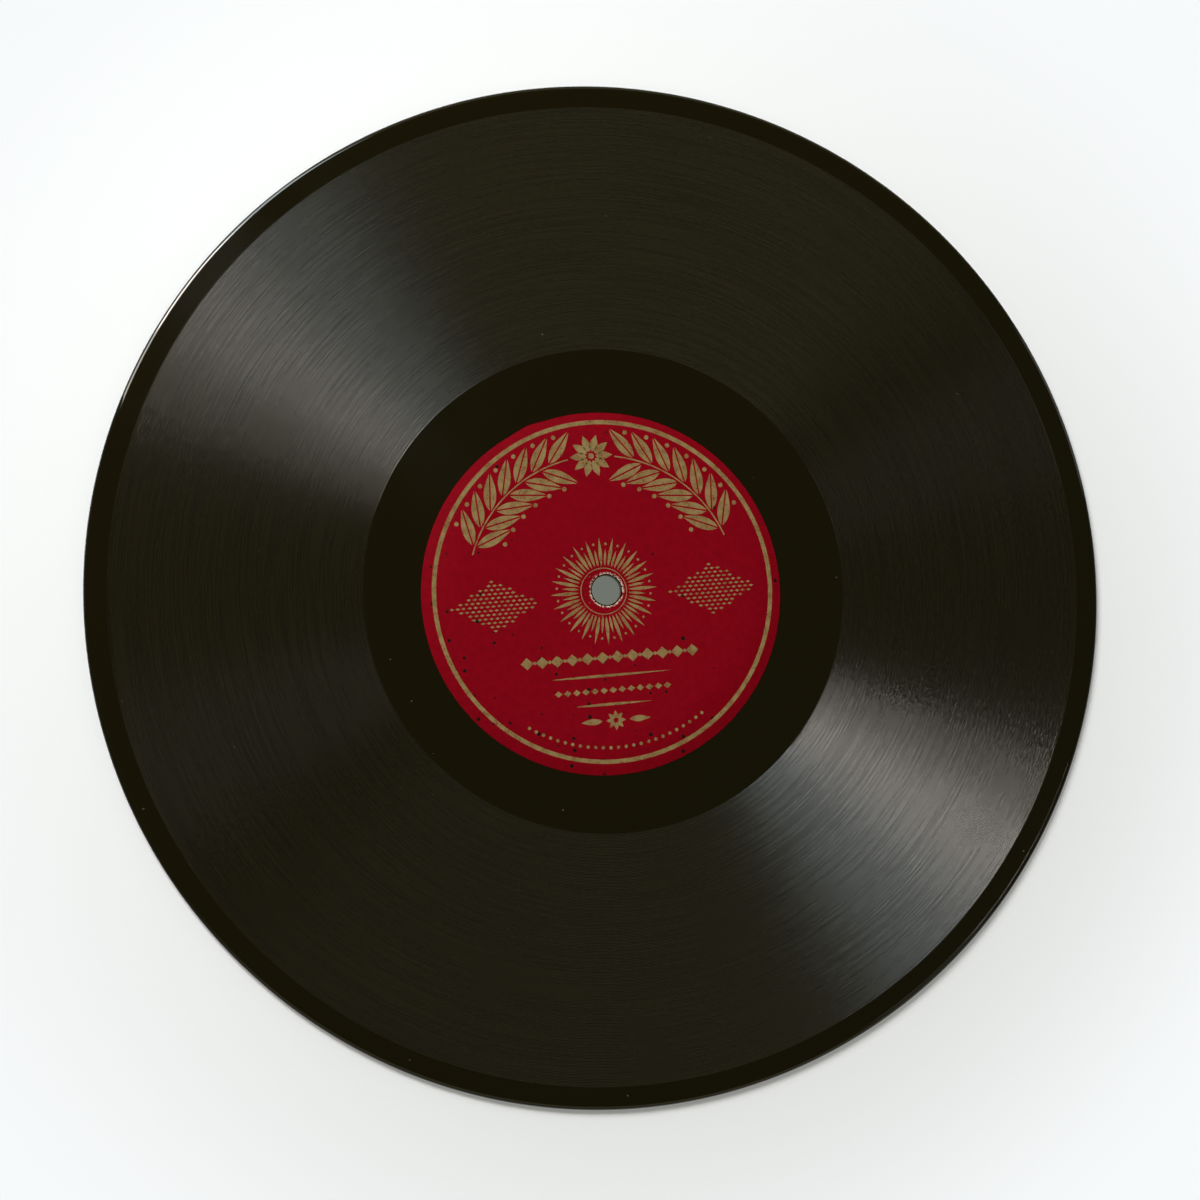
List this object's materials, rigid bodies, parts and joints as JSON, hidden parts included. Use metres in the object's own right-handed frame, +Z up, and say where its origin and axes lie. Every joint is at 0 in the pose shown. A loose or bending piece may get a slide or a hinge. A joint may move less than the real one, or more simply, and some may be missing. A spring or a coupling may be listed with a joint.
{
  "type": "shellac record",
  "caption": "Flat round shellac gramophone record of laminated build, with a spiral groove on both faces, a rounded rim, flush paper labels and a central spindle hole.",
  "frame": {"origin": "middle of the spindle hole, in the plane of the lower face (side B)", "axes": "+Z up along the spindle axis, out of side A; the groove's seam lies along X"},
  "size_m": [0.2508, 0.2508, 0.0023],
  "materials": {
    "core_compound": "dull, coarse filled shellac compound",
    "barrier_paper": "matte kraft paper",
    "shellac_facing": "polished warm black shellac, cut by a fine groove",
    "label_paper": "calendered paper, dark red with dull gold print"
  },
  "bodies": {
    "root": {"core_disc": "core_compound", "barrier_paper_a": "barrier_paper", "barrier_paper_b": "barrier_paper", "facing_a": "shellac_facing", "facing_b": "shellac_facing", "label_a": "label_paper", "label_b": "label_paper"}
  },
  "joints": []
}
